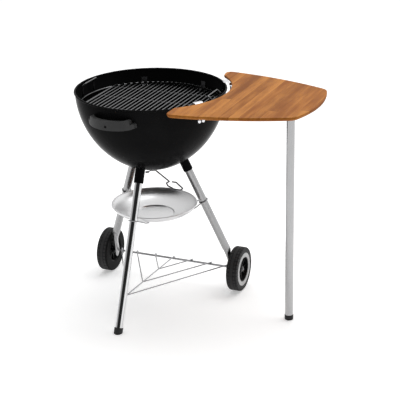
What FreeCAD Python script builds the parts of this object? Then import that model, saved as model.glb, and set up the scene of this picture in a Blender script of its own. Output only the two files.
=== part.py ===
import FreeCAD, Part
import math
import os
from FreeCAD import Placement, Vector

# Kettle charcoal grill with a wooden side table, one solid or group of solids per piece.
# Millimetres. While building, the bowl's axis is Z through (0, 0), the floor is z = 0, the
# front leg points to -Y, the axle runs along X behind the bowl and the table reaches to +X.
# The last step moves everything so that the origin lies under the middle of the whole object.

# Bowl
RIM_Z = 700.0
RIM_RADIUS = 235.0
BOWL_RADIUS = 231.5
BOWL_DEPTH = 254.0
BOWL_WALL = 1.6
BOWL_FULLNESS = 1.9
RIM_BEAD = 3.0
CURVE_STEPS = 12

# Legs: straight tubes that lean outwards along one cone
LEG_DIAMETER = 25.0
LEG_WALL = 1.2
LEG_FOOT_RADIUS = 292.3
LEG_SLOPE = 0.4263
LEG_TOP_Z = 456.0
LEG_END_Z = 9.0
FOOT_DIAMETER = 27.4
FRONT_ANGLE = -90.0
RIGHT_ANGLE = 30.0
LEFT_ANGLE = 150.0
SOCKET_DIAMETER = 30.0
SOCKET_TOP_Z = 486.0
SOCKET_END_Z = 427.0
SLIP = 0.1

# Wheels and axle
WHEEL_RADIUS = 72.5
WHEEL_WIDTH = 36.7
WHEEL_INNER_X = 214.8
AXLE_Y = 134.65
AXLE_DIAMETER = 7.0
RUNNING_GAP = 0.08
SIDE_GAP = 0.5
TYRE_BORE_RADIUS = 41.0
WHITEWALL_RADIUS = 54.5
WHITEWALL_DEPTH = 1.2
TYRE_SHOULDER = 5.0
HUB_SPOKES = 8

# Side table
BOARD_SHIFT_Y = -13.0
HOLLOW_ENDS = (-49.5, 47.0)
BOARD_TOP_Z = 708.0
BOARD_THICKNESS = 11.5
BOARD_ARC_RADIUS = 249.0
BOARD_REACH = 548.0
BOARD_TOP_EDGE = 2.0
BOARD_UNDER_EDGE = 8.0
TABLE_LEG_X = 458.4
TABLE_LEG_Y = -16.7
BRACKET_ANGLES = (-29.5, 32.0)
BRACKET_WIDTH = 28.0
BRACKET_SHEET = 2.5
PLATE_SHEET = 3.0

# Grates
GRATE_Z = 660.0
GRATE_RADIUS = 219.0
GRATE_RING = 6.0
GRATE_BAR = 4.6
GRATE_PITCH = 14.6
WELD = 0.6
GRATE_RING_Z = GRATE_Z - (GRATE_RING + GRATE_BAR) / 2 + WELD
GRATE_EDGE_X = 178.0
GRATE_HANDLE_HALF = 37.0
GRATE_HANDLE_RISE = 44.0
COAL_GRATE_Z = 543.0
COAL_GRATE_RADIUS = 160.0
COAL_GRATE_BAR = 5.0
COAL_GRATE_PITCH = 19.0
SUPPORT_ANGLES = (67.0, 120.0, 247.0, 300.0)

# Ash pan and its clips
PAN_RADIUS = 136.0
PAN_RIM_Z = 323.0
PAN_SHEET = 1.5
CLIP_WIRE = 3.5
CLIP_Z = 319.0

# Vent sweep under the bowl
LEVER_ANGLE = -36.0
LEVER_WIRE = 4.5
LEVER_Z = 425.0
STEM_DIAMETER = 8.0
VENT_ANGLES = (-30.0, 90.0, 210.0)
VENT_WIDTH = 26.0
VENT_INNER_RADIUS = 34.0
VENT_OUTER_RADIUS = 62.0
VANE_OFFSET = 30.0
VANE_WIDTH = 36.0
VANE_REACH = 82.0
VANE_SHEET = 1.2

# Bowl handles
HANDLE_ANGLE = -96.0
HANDLE_TILT = 1.0
HANDLE_REACH = 262.0
HANDLE_THICKNESS = 13.0
HANDLE_CURVE = 110.0
HANDLE_HALF = 78.0
HANDLE_SCREW_Z = 651.0
HANDLE_LOW_Z = 639.5
HANDLE_HIGH_Z = 668.5

# Bottom rack
RACK_WIRE = 4.0
RACK_FRONT_Z = 99.0
RACK_APEX_Y = (-106.0, 15.0)
RACK_HALF_WIDTH = (192.0, 134.0, 66.0)

ORIGIN = Vector(0, 0, 0)
X_AXIS = Vector(1, 0, 0)
Y_AXIS = Vector(0, 1, 0)
Z_AXIS = Vector(0, 0, 1)
FULL_TURN = 360.0
BIG = 1000.0


def polar(radius, degrees, z=0.0):
    """Point at a radius and an angle about the bowl's axis."""
    turn = math.radians(degrees)
    return Vector(radius * math.cos(turn), radius * math.sin(turn), z)


def turned(shape, degrees, centre=ORIGIN, axis=Z_AXIS):
    """A copy of a shape turned about an axis."""
    copy = shape.copy()
    copy.rotate(centre, axis, degrees)
    return copy


def moved(shape, offset):
    """A copy of a shape moved by an offset."""
    copy = shape.copy()
    copy.translate(offset)
    return copy


def rod(start, end, diameter):
    """Round bar between two points."""
    run = end - start
    return Part.makeCylinder(diameter / 2, run.Length, start, run)


def tube(start, end, outer, inner):
    """Open tube between two points."""
    run = end - start
    over = run * (1.0 / run.Length)
    return rod(start, end, outer).cut(rod(start - over, end + over, inner))


def box(low, high):
    """Box between two corners."""
    size = high - low
    return Part.makeBox(size.x, size.y, size.z, low)


def lathe(points):
    """Solid turned about Z from an outline of (radius, height) points."""
    outline = [Vector(radius, 0, z) for radius, z in points]
    face = Part.Face(Part.makePolygon(outline + outline[:1]))
    return face.revolve(ORIGIN, Z_AXIS, FULL_TURN)


def smooth_curve(points, start_run=None, end_run=None):
    """Smooth edge through points, with optional end directions."""
    curve = Part.BSplineCurve()
    if start_run is None:
        curve.interpolate(points)
    else:
        curve.interpolate(Points=points, InitialTangent=start_run, FinalTangent=end_run)
    return curve.toShape()


def bent_path(points, bend):
    """Wire of straight runs joined by tangent arcs of one bend radius."""
    edges = []
    start = points[0]
    for before, corner, after in zip(points, points[1:], points[2:]):
        back = (before - corner).normalize()
        ahead = (after - corner).normalize()
        half = back.getAngle(ahead) / 2
        reach = bend / math.tan(half)
        middle = (back + ahead).normalize()
        centre = corner + middle * (bend / math.sin(half))
        arc_start = corner + back * reach
        arc_end = corner + ahead * reach
        edges.append(Part.makeLine(start, arc_start))
        edges.append(Part.Arc(arc_start, centre - middle * bend, arc_end).toShape())
        start = arc_end
    edges.append(Part.makeLine(start, points[-1]))
    return Part.Wire(edges)


def bent_wire(points, diameter, bend):
    """Round wire bent along a path of points."""
    path = bent_path(points, bend)
    ring = Part.Wire(Part.makeCircle(diameter / 2, points[0], points[1] - points[0]))
    return path.makePipeShell([ring], True, False)


def strap(points, sheet, width, bend):
    """Flat strap in the X-Z plane, bent along points given as (x, z), centred on Y = 0."""
    path = [Vector(x, 0, z) for x, z in points]
    run = (path[1] - path[0]).normalize()
    side = run.cross(Y_AXIS) * (sheet / 2)
    across = Y_AXIS * (width / 2)
    start = path[0]
    corners = [start + side + across, start - side + across, start - side - across, start + side - across]
    section = Part.makePolygon(corners + corners[:1])
    return bent_path(path, bend).makePipeShell([section], True, False)


def bowl_outline(radius, depth):
    """Points of the bowl's side from the rim down to the middle of the bottom."""
    power = 2 / BOWL_FULLNESS
    points = []
    for step in range(CURVE_STEPS + 1):
        turn = math.pi / 2 * step / CURVE_STEPS
        out = max(math.cos(turn), 0.0) ** power
        down = math.sin(turn) ** power
        points.append(Vector(radius * out, 0, RIM_Z - RIM_BEAD - depth * down))
    points[-1] = Vector(0, 0, RIM_Z - RIM_BEAD - depth)
    return points


def bowl_curve(radius, depth):
    """The bowl's side as one smooth edge, upright at the rim and level at the bottom."""
    return smooth_curve(bowl_outline(radius, depth), Z_AXIS * -1, X_AXIS * -1)


def bowl_side(inset):
    """Depth below the rim's bead and radius at which the bowl's side lies, inset from its outside."""
    return BOWL_RADIUS - inset, BOWL_DEPTH - inset


def bowl_wall_radius(z, inset=0.0):
    """Radius of the bowl's side at a height."""
    side_radius, depth = bowl_side(inset)
    share = 1 - ((RIM_Z - RIM_BEAD - z) / depth) ** BOWL_FULLNESS
    return side_radius * share ** (1 / BOWL_FULLNESS)


def filled_bowl(inset=0.0):
    """The space inside the bowl's side as a solid, inset from its outside."""
    radius, depth = bowl_side(inset)
    top = Vector(0, 0, RIM_Z - RIM_BEAD)
    side = bowl_curve(radius, depth)
    bottom = Vector(0, 0, RIM_Z - RIM_BEAD - depth)
    edges = [Part.makeLine(top, top + X_AXIS * radius), side, Part.makeLine(bottom, top)]
    return Part.Face(Part.Wire(edges)).revolve(ORIGIN, Z_AXIS, FULL_TURN)


def leg_point(degrees, z):
    """Point on the middle line of the leg at an angle."""
    return polar(LEG_FOOT_RADIUS - LEG_SLOPE * z, degrees, z)


def slot_cutter(degrees):
    """Upright cutter for one vent slot in the bottom of the bowl."""
    half = VENT_WIDTH / 2
    low = Vector(VENT_INNER_RADIUS, -half, RIM_Z - 1.5 * BOWL_DEPTH)
    high = Vector(VENT_OUTER_RADIUS, half, RIM_Z - BOWL_DEPTH / 2)
    cutter = box(low, high)
    for radius in (VENT_INNER_RADIUS, VENT_OUTER_RADIUS):
        cutter = cutter.fuse(Part.makeCylinder(half, high.z - low.z, Vector(radius, 0, low.z)))
    return turned(cutter, degrees)


def make_bowl(outer_space, inner_space):
    """Enamelled steel bowl with a rolled rim, three vent slots and a hole for the sweep's stem."""
    bowl = outer_space.cut(inner_space)
    bead_radius = RIM_RADIUS - RIM_BEAD
    bowl = bowl.fuse(Part.makeTorus(bead_radius, RIM_BEAD, Vector(0, 0, RIM_Z - RIM_BEAD)))
    for degrees in VENT_ANGLES:
        bowl = bowl.cut(slot_cutter(degrees))
    stem_hole = STEM_DIAMETER / 2 + RUNNING_GAP
    return bowl.cut(Part.makeCylinder(stem_hole, BOWL_DEPTH, Vector(0, 0, RIM_Z - 1.5 * BOWL_DEPTH)))


def make_socket(degrees, outer_space):
    """Short black sleeve that carries a leg under the bowl."""
    top = leg_point(degrees, SOCKET_TOP_Z)
    end = leg_point(degrees, SOCKET_END_Z)
    return tube(top, end, SOCKET_DIAMETER, LEG_DIAMETER + 2 * SLIP).cut(outer_space)


def make_front_leg():
    """Straight aluminium tube down to the front foot."""
    end = leg_point(FRONT_ANGLE, LEG_END_Z)
    leg = tube(leg_point(FRONT_ANGLE, LEG_TOP_Z), end, LEG_DIAMETER, LEG_DIAMETER - 2 * LEG_WALL)
    hole_start = rack_front()
    return leg.cut(rod(hole_start, hole_start + (rack_point(0, 0) - hole_start) * 0.1, RACK_WIRE + 2 * SLIP))


def oval(centre, normal, across, along, thick):
    """Oval wire: half-width `along` in the direction `across`, half-width `thick` square to it."""
    normal = normal.normalize()
    side = (across - normal * across.dot(normal)).normalize()
    other = normal.cross(side)
    matrix = FreeCAD.Matrix(side.x, other.x, normal.x, centre.x,
                            side.y, other.y, normal.y, centre.y,
                            side.z, other.z, normal.z, centre.z,
                            0, 0, 0, 1)
    ring = Part.Wire(Part.Ellipse(ORIGIN, along, thick).toShape())
    ring.Placement = Placement(matrix)
    return ring


def make_wheel_leg(side):
    """Leg whose lower end is pressed flat, stands plumb beside the wheel and ends in a tapered tip."""
    degrees = RIGHT_ANGLE if side > 0 else LEFT_ANGLE
    flat_start = 152.0
    plumb_x = side * 206.4
    lean = leg_point(degrees, 0) - leg_point(degrees, LEG_FOOT_RADIUS)
    half = LEG_DIAMETER / 2
    flat_half = 11.5
    flat_thick = 5.8
    sections = [
        (leg_point(degrees, flat_start), lean, half, half),
        (leg_point(degrees, flat_start - 12), lean, half, half - 1.5),
        (Vector(side * 205.2, 121.5, 114), lean * 0.4 + Z_AXIS * -60, flat_half, flat_thick + 0.6),
        (Vector(plumb_x, 127.5, 94), Z_AXIS * -1, flat_half, flat_thick),
        (Vector(plumb_x, 129.5, 72), Z_AXIS * -1, flat_half, flat_thick),
        (Vector(plumb_x, 128.0, 54), Z_AXIS * -1, flat_half * 0.3, flat_thick * 0.5),
    ]
    rings = [oval(centre, run, Y_AXIS, along, thick) for centre, run, along, thick in sections]
    pressed_end = Part.makeLoft(rings, True, False)
    straight = tube(leg_point(degrees, LEG_TOP_Z), leg_point(degrees, flat_start),
                    LEG_DIAMETER, LEG_DIAMETER - 2 * LEG_WALL)
    leg = straight.fuse(pressed_end)
    hole = AXLE_DIAMETER / 2 + SLIP
    bore = Part.makeCylinder(hole, WHEEL_WIDTH, Vector(side * 230, AXLE_Y, WHEEL_RADIUS), X_AXIS * -side)
    return leg.cut(bore)


def floor_cap(axis_top, axis_end, tube_end):
    """Slip-on foot cap round a tube, cut level with the floor and softened at its sole."""
    cap = rod(axis_top, axis_end, FOOT_DIAMETER)
    below = box(Vector(-BIG, -BIG, -BIG), Vector(BIG, BIG, 0))
    cap = cap.cut(below)
    sole = [edge for edge in cap.Edges if edge.BoundBox.ZMax < SLIP]
    cap = cap.makeFillet(2.0, sole)
    return cap.cut(rod(axis_top + (axis_top - axis_end), tube_end, LEG_DIAMETER + 2 * SLIP))


def make_front_foot():
    """Dark plastic cap on the front leg's end."""
    cap_top = 16.0
    return floor_cap(leg_point(FRONT_ANGLE, cap_top), leg_point(FRONT_ANGLE, -cap_top),
                     leg_point(FRONT_ANGLE, LEG_END_Z))


def make_tyre(side):
    """Tyre with round shoulders and a shallow seat for the pale ring on its outer face."""
    half = WHEEL_WIDTH / 2
    ring_z = half - WHITEWALL_DEPTH
    blank = lathe([(TYRE_BORE_RADIUS, -half), (WHEEL_RADIUS, -half), (WHEEL_RADIUS, half),
                   (WHITEWALL_RADIUS, half), (WHITEWALL_RADIUS, ring_z), (TYRE_BORE_RADIUS, ring_z)])
    shoulders = [edge for edge in blank.Edges if is_circle(edge, WHEEL_RADIUS)]
    return to_wheel(blank.makeFillet(TYRE_SHOULDER, shoulders), side)


def is_circle(edge, radius):
    """True for a round edge of the given radius."""
    return hasattr(edge.Curve, "Radius") and abs(edge.Curve.Radius - radius) < SLIP


def to_wheel(shape, side):
    """Carry a shape turned about Z to the wheel at side +1 or -1, its top facing away from the bowl."""
    centre = Vector(side * (WHEEL_INNER_X + WHEEL_WIDTH / 2), AXLE_Y, WHEEL_RADIUS)
    copy = turned(shape, 90.0 * side, axis=Y_AXIS)
    copy.translate(centre)
    return copy


def make_whitewall(side):
    """Pale ring let into the tyre's outer face, standing slightly proud."""
    half = WHEEL_WIDTH / 2
    base = half - WHITEWALL_DEPTH
    crown = half + WHITEWALL_DEPTH / 4
    middle = (TYRE_BORE_RADIUS + WHITEWALL_RADIUS) / 2
    outline = [(TYRE_BORE_RADIUS, base), (WHITEWALL_RADIUS, base), (WHITEWALL_RADIUS, half),
               (middle, crown), (TYRE_BORE_RADIUS, half)]
    return to_wheel(lathe(outline), side)


def make_hub(side):
    """Moulded hub: rim barrel, thin web, ribs and a bored boss."""
    half = WHEEL_WIDTH / 2
    barrel_wall = 3.0
    barrel_half = half - 2.0
    boss_radius = 11.0
    boss_out = half - 8.0
    web_half = 1.5
    bore = AXLE_DIAMETER / 2 + RUNNING_GAP
    inner = TYRE_BORE_RADIUS - barrel_wall
    hub = lathe([(inner, -barrel_half), (TYRE_BORE_RADIUS, -barrel_half),
                 (TYRE_BORE_RADIUS, barrel_half), (inner, barrel_half)])
    hub = hub.fuse(lathe([(bore, -web_half), (inner + SIDE_GAP, -web_half),
                          (inner + SIDE_GAP, web_half), (bore, web_half)]))
    hub = hub.fuse(lathe([(bore, -half + SIDE_GAP), (boss_radius, -half + SIDE_GAP),
                          (boss_radius, boss_out), (bore, boss_out)]))
    rib_half = 1.6
    rib_depth = 10.0
    for number in range(HUB_SPOKES):
        rib = box(Vector(boss_radius - 1, -rib_half, -rib_depth),
                  Vector(inner + SIDE_GAP, rib_half, rib_depth))
        hub = hub.fuse(turned(rib, number * FULL_TURN / HUB_SPOKES))
    return to_wheel(hub.removeSplitter(), side)


def make_axle():
    """Steel axle through both flattened leg ends and both hubs."""
    reach = WHEEL_INNER_X + WHEEL_WIDTH - 4.5
    start = Vector(-reach, AXLE_Y, WHEEL_RADIUS)
    return rod(start, start + X_AXIS * (2 * reach), AXLE_DIAMETER)


def make_axle_cap(side):
    """Push-on cap that keeps a wheel on the axle."""
    cap_start = WHEEL_WIDTH / 2 - 8.0 + SIDE_GAP
    cap_end = cap_start + 6.0
    shaft = AXLE_DIAMETER / 2
    floor = cap_end - 1.2
    outline = [(shaft, cap_start), (8.5, cap_start), (8.5, cap_start + 1.5), (6.0, cap_end - 1.5),
               (3.5, cap_end), (0, cap_end), (0, floor), (shaft, floor)]
    return to_wheel(lathe(outline), side)


def board_corner(x, y):
    """Corner of the table board's outline on its underside, y measured from the board's middle line."""
    return Vector(x, y + BOARD_SHIFT_Y, BOARD_TOP_Z - BOARD_THICKNESS)


def rounded_corners(board, corners, radius):
    """Round the upright edges that stand at the given corners."""
    edges = []
    for edge in board.Edges:
        spot = edge.CenterOfMass
        if any(math.hypot(spot.x - corner.x, spot.y - corner.y) < SLIP for corner in corners):
            edges.append(edge)
    return board.makeFillet(radius, edges)


def make_board():
    """Wooden board with a hollow end that follows the bowl, blunt horns and bowed sides."""
    low_z = BOARD_TOP_Z - BOARD_THICKNESS
    low_hollow, hollow = [polar(BOARD_ARC_RADIUS, degrees, low_z) for degrees in HOLLOW_ENDS]
    low_horn, horn = board_corner(160.5, -243.0), board_corner(160.5, 243.0)
    low_side, side = board_corner(335.0, -215.5), board_corner(335.0, 215.5)
    low_outer, outer = board_corner(520.0, -149.0), board_corner(520.0, 149.0)
    edges = [
        Part.Arc(low_hollow, polar(BOARD_ARC_RADIUS, 0, low_z), hollow).toShape(),
        Part.makeLine(hollow, horn),
        Part.Arc(horn, side, outer).toShape(),
        Part.Arc(outer, board_corner(BOARD_REACH, 0), low_outer).toShape(),
        Part.Arc(low_outer, low_side, low_horn).toShape(),
        Part.makeLine(low_horn, low_hollow),
    ]
    board = Part.Face(Part.Wire(edges)).extrude(Z_AXIS * BOARD_THICKNESS)
    board = rounded_corners(board, (horn, low_horn), 18.0)
    board = rounded_corners(board, (outer, low_outer), 38.0)
    board = rounded_corners(board, (hollow, low_hollow), 8.0)
    under = [edge for edge in board.Edges if edge.BoundBox.ZMax < low_z + SLIP]
    board = board.makeFillet(BOARD_UNDER_EDGE, under)
    top = [edge for edge in board.Edges if edge.BoundBox.ZMin > BOARD_TOP_Z - SLIP]
    return board.makeFillet(BOARD_TOP_EDGE, top)


def make_bracket():
    """Chrome strap that hooks over the bowl's rim and carries the board's hollow end."""
    under_board = BOARD_TOP_Z - BOARD_THICKNESS - BRACKET_SHEET / 2
    over_rim = BOARD_TOP_Z - BRACKET_SHEET / 2
    inside = BOWL_RADIUS - 5.0
    outside = RIM_RADIUS + 6.5
    flange_end = BOARD_ARC_RADIUS + 62.0
    points = [(inside, RIM_Z - 22), (inside, over_rim), (outside, over_rim),
              (outside, under_board), (flange_end, under_board)]
    return strap(points, BRACKET_SHEET, BRACKET_WIDTH, BRACKET_SHEET * 1.2)


def make_bracket_studs():
    """Two threaded studs with dome nuts that hang under each bracket's flange."""
    flange_low = BOARD_TOP_Z - BOARD_THICKNESS - BRACKET_SHEET
    nut_top = 658.0
    nut_radius = 5.2
    studs = []
    for x, y in ((250.5, -7.0), (250.5, 7.0)):
        stud = rod(Vector(x, y, flange_low), Vector(x, y, nut_top - 1), 5.0)
        nut = Part.makeCylinder(nut_radius, 4.5, Vector(x, y, nut_top - 4.5))
        dome = Part.makeSphere(nut_radius, Vector(x, y, nut_top - 4.5))
        studs.append(stud.fuse(nut).fuse(dome).removeSplitter())
    return studs


def make_pan_screw(x, y, under_z):
    """Pan-head screw under a flange, its shank up in the wood above."""
    head = Part.makeCylinder(4.2, 2.6, Vector(x, y, under_z - 2.6))
    edge = [item for item in head.Edges if is_circle(item, 4.2) and item.BoundBox.ZMax < under_z - 1]
    return head.makeFillet(1.4, edge)


def make_table_leg():
    """Plumb aluminium tube under the outer half of the board."""
    top = BOARD_TOP_Z - BOARD_THICKNESS - PLATE_SHEET
    start = Vector(TABLE_LEG_X, TABLE_LEG_Y, top)
    return tube(start, Vector(TABLE_LEG_X, TABLE_LEG_Y, LEG_END_Z), LEG_DIAMETER, LEG_DIAMETER - 2 * LEG_WALL)


def make_table_flange():
    """Steel socket plate that joins the table leg to the board."""
    under_board = BOARD_TOP_Z - BOARD_THICKNESS
    sheet = PLATE_SHEET
    plate_radius = 34.0
    sleeve_radius = LEG_DIAMETER / 2 + SLIP + 2.0
    sleeve_end = under_board - 32.0
    inside = LEG_DIAMETER / 2 + SLIP
    return moved(lathe([(0, under_board), (plate_radius, under_board), (plate_radius, under_board - sheet),
                        (sleeve_radius, under_board - sheet), (sleeve_radius, sleeve_end),
                        (inside, sleeve_end), (inside, under_board - sheet), (0, under_board - sheet)]),
                 Vector(TABLE_LEG_X, TABLE_LEG_Y, 0))


def make_table_foot():
    """Dark plastic cap on the table leg's end."""
    cap_top = 16.0
    return floor_cap(Vector(TABLE_LEG_X, TABLE_LEG_Y, cap_top), Vector(TABLE_LEG_X, TABLE_LEG_Y, -cap_top),
                     Vector(TABLE_LEG_X, TABLE_LEG_Y, LEG_END_Z))


def chord_half(radius, offset):
    """Half length of the chord of a circle at an offset from its middle."""
    return math.sqrt(radius * radius - offset * offset)


def bars_in_ring(radius, z, diameter, offsets, along):
    """Parallel round bars that end in a ring's wire, running along X or Y."""
    bars = []
    for offset in offsets:
        half = chord_half(radius, offset)
        if along == "x":
            bars.append(rod(Vector(-half, offset, z), Vector(half, offset, z), diameter))
        else:
            bars.append(rod(Vector(offset, -half, z), Vector(offset, half, z), diameter))
    return bars


def fused(shapes):
    """One solid from shapes that overlap."""
    return shapes[0].multiFuse(shapes[1:])


def make_cooking_grate():
    """Plated wire grate: ring, bars front to back, cross wires below and two loop handles."""
    ring = Part.makeTorus(GRATE_RADIUS, GRATE_RING / 2, Vector(0, 0, GRATE_RING_Z))
    count = round(2 * GRATE_EDGE_X / GRATE_PITCH)
    pitch = 2 * GRATE_EDGE_X / count
    inner_offsets = [-GRATE_EDGE_X + pitch * number for number in range(1, count)]
    bars = bars_in_ring(GRATE_RADIUS, GRATE_Z, GRATE_BAR, inner_offsets, "y")
    bars += bars_in_ring(GRATE_RADIUS, GRATE_Z, GRATE_BAR * 1.5, (-GRATE_EDGE_X, GRATE_EDGE_X), "y")
    cross_z = GRATE_Z - GRATE_BAR + WELD
    cross = []
    for offset in (-105.0, 5.0, 105.0):
        half = min(GRATE_EDGE_X, chord_half(GRATE_RADIUS, offset))
        cross.append(rod(Vector(-half, offset, cross_z), Vector(half, offset, cross_z), GRATE_BAR))
    handles = [make_grate_handle(side) for side in (1, -1)]
    return fused([ring] + bars + cross + handles)


def make_grate_handle(side):
    """Wire loop that stands on the ring and leans inwards at its top."""
    foot_x = chord_half(GRATE_RADIUS, GRATE_HANDLE_HALF)
    shoulder = GRATE_HANDLE_RISE - 10.0
    top_x = foot_x - 11.0
    points = [Vector(side * foot_x, -GRATE_HANDLE_HALF, GRATE_RING_Z),
              Vector(side * foot_x, -GRATE_HANDLE_HALF, GRATE_Z + shoulder),
              Vector(side * top_x, -GRATE_HANDLE_HALF, GRATE_Z + GRATE_HANDLE_RISE),
              Vector(side * top_x, GRATE_HANDLE_HALF, GRATE_Z + GRATE_HANDLE_RISE),
              Vector(side * foot_x, GRATE_HANDLE_HALF, GRATE_Z + shoulder),
              Vector(side * foot_x, GRATE_HANDLE_HALF, GRATE_RING_Z)]
    return bent_wire(points, GRATE_BAR, GRATE_BAR)


def make_charcoal_grate():
    """Heavy wire grate low in the bowl that carries the charcoal."""
    bar = COAL_GRATE_BAR
    cross_z = COAL_GRATE_Z - bar + WELD
    ring = Part.makeTorus(COAL_GRATE_RADIUS, bar / 2, Vector(0, 0, COAL_GRATE_Z))
    count = int(COAL_GRATE_RADIUS // COAL_GRATE_PITCH)
    offsets = [COAL_GRATE_PITCH * number for number in range(-count, count + 1)]
    bars = bars_in_ring(COAL_GRATE_RADIUS, COAL_GRATE_Z, bar, offsets, "y")
    cross = bars_in_ring(COAL_GRATE_RADIUS, cross_z, bar, (-70.0, 70.0), "x")
    return fused([ring] + bars + cross)


def make_support(shelf_z, shelf_radius, upstand, outer_space):
    """Bent strap on the bowl's inside: an upright leg on the wall and a shelf under a grate's ring."""
    sheet = 2.0
    width = 18.0
    wall = bowl_wall_radius(shelf_z + upstand, BOWL_WALL)
    low = shelf_z - sheet / 2
    points = [(wall + 12, low), (shelf_radius, low), (shelf_radius - 1.0, shelf_z - 12.0)]
    shelf = strap(points, sheet, width, sheet * 1.2)
    low_wall = bowl_wall_radius(shelf_z - 10, BOWL_WALL)
    upright = [(wall - sheet / 2, shelf_z + upstand), (low_wall - sheet / 2, shelf_z - 10)]
    leg = strap(upright, sheet * 1.4, width, sheet)
    return shelf.fuse(leg).common(outer_space)


def make_supports(shelf_z, shelf_radius, upstand, inner_space):
    """Four supports round the bowl."""
    one = make_support(shelf_z, shelf_radius, upstand, inner_space)
    return [turned(one, degrees) for degrees in SUPPORT_ANGLES]


def pan_edge(drop):
    """The ash pan's outline from its middle to its rim, lowered by a drop."""
    floor_z = 286.5
    step_z = 290.0
    middle = Vector(0, 0, floor_z - drop)
    step_low = Vector(60.0, 0, floor_z - drop)
    step_top = Vector(63.0, 0, step_z - drop)
    rise = [step_top, Vector(95.0, 0, 295.5 - drop), Vector(118.0, 0, 304.5 - drop),
            Vector(130.0, 0, 313.5 - drop), Vector(PAN_RADIUS - 1, 0, PAN_RIM_Z - drop)]
    return [Part.makeLine(middle, step_low), Part.makeLine(step_low, step_top), smooth_curve(rise)]


def make_ash_pan():
    """Spun aluminium dish with a sunk middle and a rolled rim."""
    top = pan_edge(0)
    below = pan_edge(PAN_SHEET)
    inner_close = Part.makeLine(Vector(0, 0, 286.5), Vector(0, 0, 286.5 - PAN_SHEET))
    rim_top = Vector(PAN_RADIUS - 1, 0, PAN_RIM_Z)
    rim_close = Part.makeLine(rim_top, rim_top - Z_AXIS * PAN_SHEET)
    outline = Part.Wire(Part.__sortEdges__(top + below + [inner_close, rim_close]))
    dish = Part.Face(outline).revolve(ORIGIN, Z_AXIS, FULL_TURN)
    bead = Part.makeTorus(PAN_RADIUS - 1.2, 1.8, Vector(0, 0, PAN_RIM_Z - 1.0))
    return dish.fuse(bead)


def make_clip():
    """Wire ring round a leg with two arms that reach in under the pan's side."""
    leg_radius = LEG_FOOT_RADIUS - LEG_SLOPE * CLIP_Z
    lean = Vector(-LEG_SLOPE, 0, 1)
    ring_radius = (LEG_DIAMETER + CLIP_WIRE) / 2 + SLIP
    clip = Part.makeTorus(ring_radius, CLIP_WIRE / 2, Vector(leg_radius, 0, CLIP_Z), lean)
    for side in (1, -1):
        points = [Vector(leg_radius, side * ring_radius, CLIP_Z),
                  Vector(leg_radius - 14, side * (ring_radius + 3), CLIP_Z - 6),
                  Vector(124.0, side * 27.0, 303.4),
                  Vector(112.0, side * 31.0, 300.2)]
        clip = clip.fuse(bent_wire(points, CLIP_WIRE, CLIP_WIRE * 1.5))
    return clip


def make_lever():
    """Bent wire lever: a shank from the stem and an open loop to hold."""
    points = [(0, 0, 437.5), (100, 0, LEVER_Z), (108, -15, LEVER_Z), (130, -23, LEVER_Z),
              (168, -22, LEVER_Z), (184, -9, LEVER_Z), (176, 3, LEVER_Z), (119, 13, LEVER_Z),
              (108, 5, LEVER_Z)]
    path = [Vector(x, y, z) for x, y, z in points]
    return turned(bent_wire(path, LEVER_WIRE, LEVER_WIRE), LEVER_ANGLE)


def make_stem():
    """Stem through the bowl's bottom, with a collar inside and a boss below that takes the lever."""
    radius = STEM_DIAMETER / 2
    inside_z = RIM_Z - RIM_BEAD - BOWL_DEPTH + BOWL_WALL
    outside_z = inside_z - BOWL_WALL
    outline = [(0, inside_z + 9), (radius, inside_z + 9), (radius, outside_z - SIDE_GAP),
               (9.0, outside_z - SIDE_GAP), (9.0, outside_z - 11), (0, outside_z - 11)]
    return lathe(outline).cut(make_lever())


def make_sweep_vanes():
    """Three thin vanes that follow the bowl's bottom and cover or clear its slots."""
    outer = filled_bowl(BOWL_WALL + 0.5)
    inner = filled_bowl(BOWL_WALL + 0.5 + VANE_SHEET)
    skin = outer.cut(inner)
    low = RIM_Z - RIM_BEAD - BOWL_DEPTH
    half = VANE_WIDTH / 2
    blank = Part.makeCylinder(20.0, BOWL_DEPTH / 2, Vector(0, 0, low))
    for degrees in VENT_ANGLES:
        arm = box(Vector(0, -half, low), Vector(VANE_REACH - half, half, low + BOWL_DEPTH / 2))
        tip = Part.makeCylinder(half, BOWL_DEPTH / 2, Vector(VANE_REACH - half, 0, low))
        blank = blank.fuse(turned(arm.fuse(tip), degrees + VANE_OFFSET))
    hole = Part.makeCylinder(STEM_DIAMETER / 2, BOWL_DEPTH, Vector(0, 0, low))
    return skin.common(blank).cut(hole)


def make_cotter():
    """Split pin through the stem's boss, pointing towards the front leg."""
    inner = 3.0
    z = 434.0
    pin_angle = -106.0
    eye = 5.0
    run = rod(Vector(inner + 6.5, 0, z), Vector(24.0, 0, z), 3.0)
    ring = Part.makeTorus(eye, 1.5, Vector(24.0 + eye, 0, z))
    return turned(run.fuse(ring), pin_angle)


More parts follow.
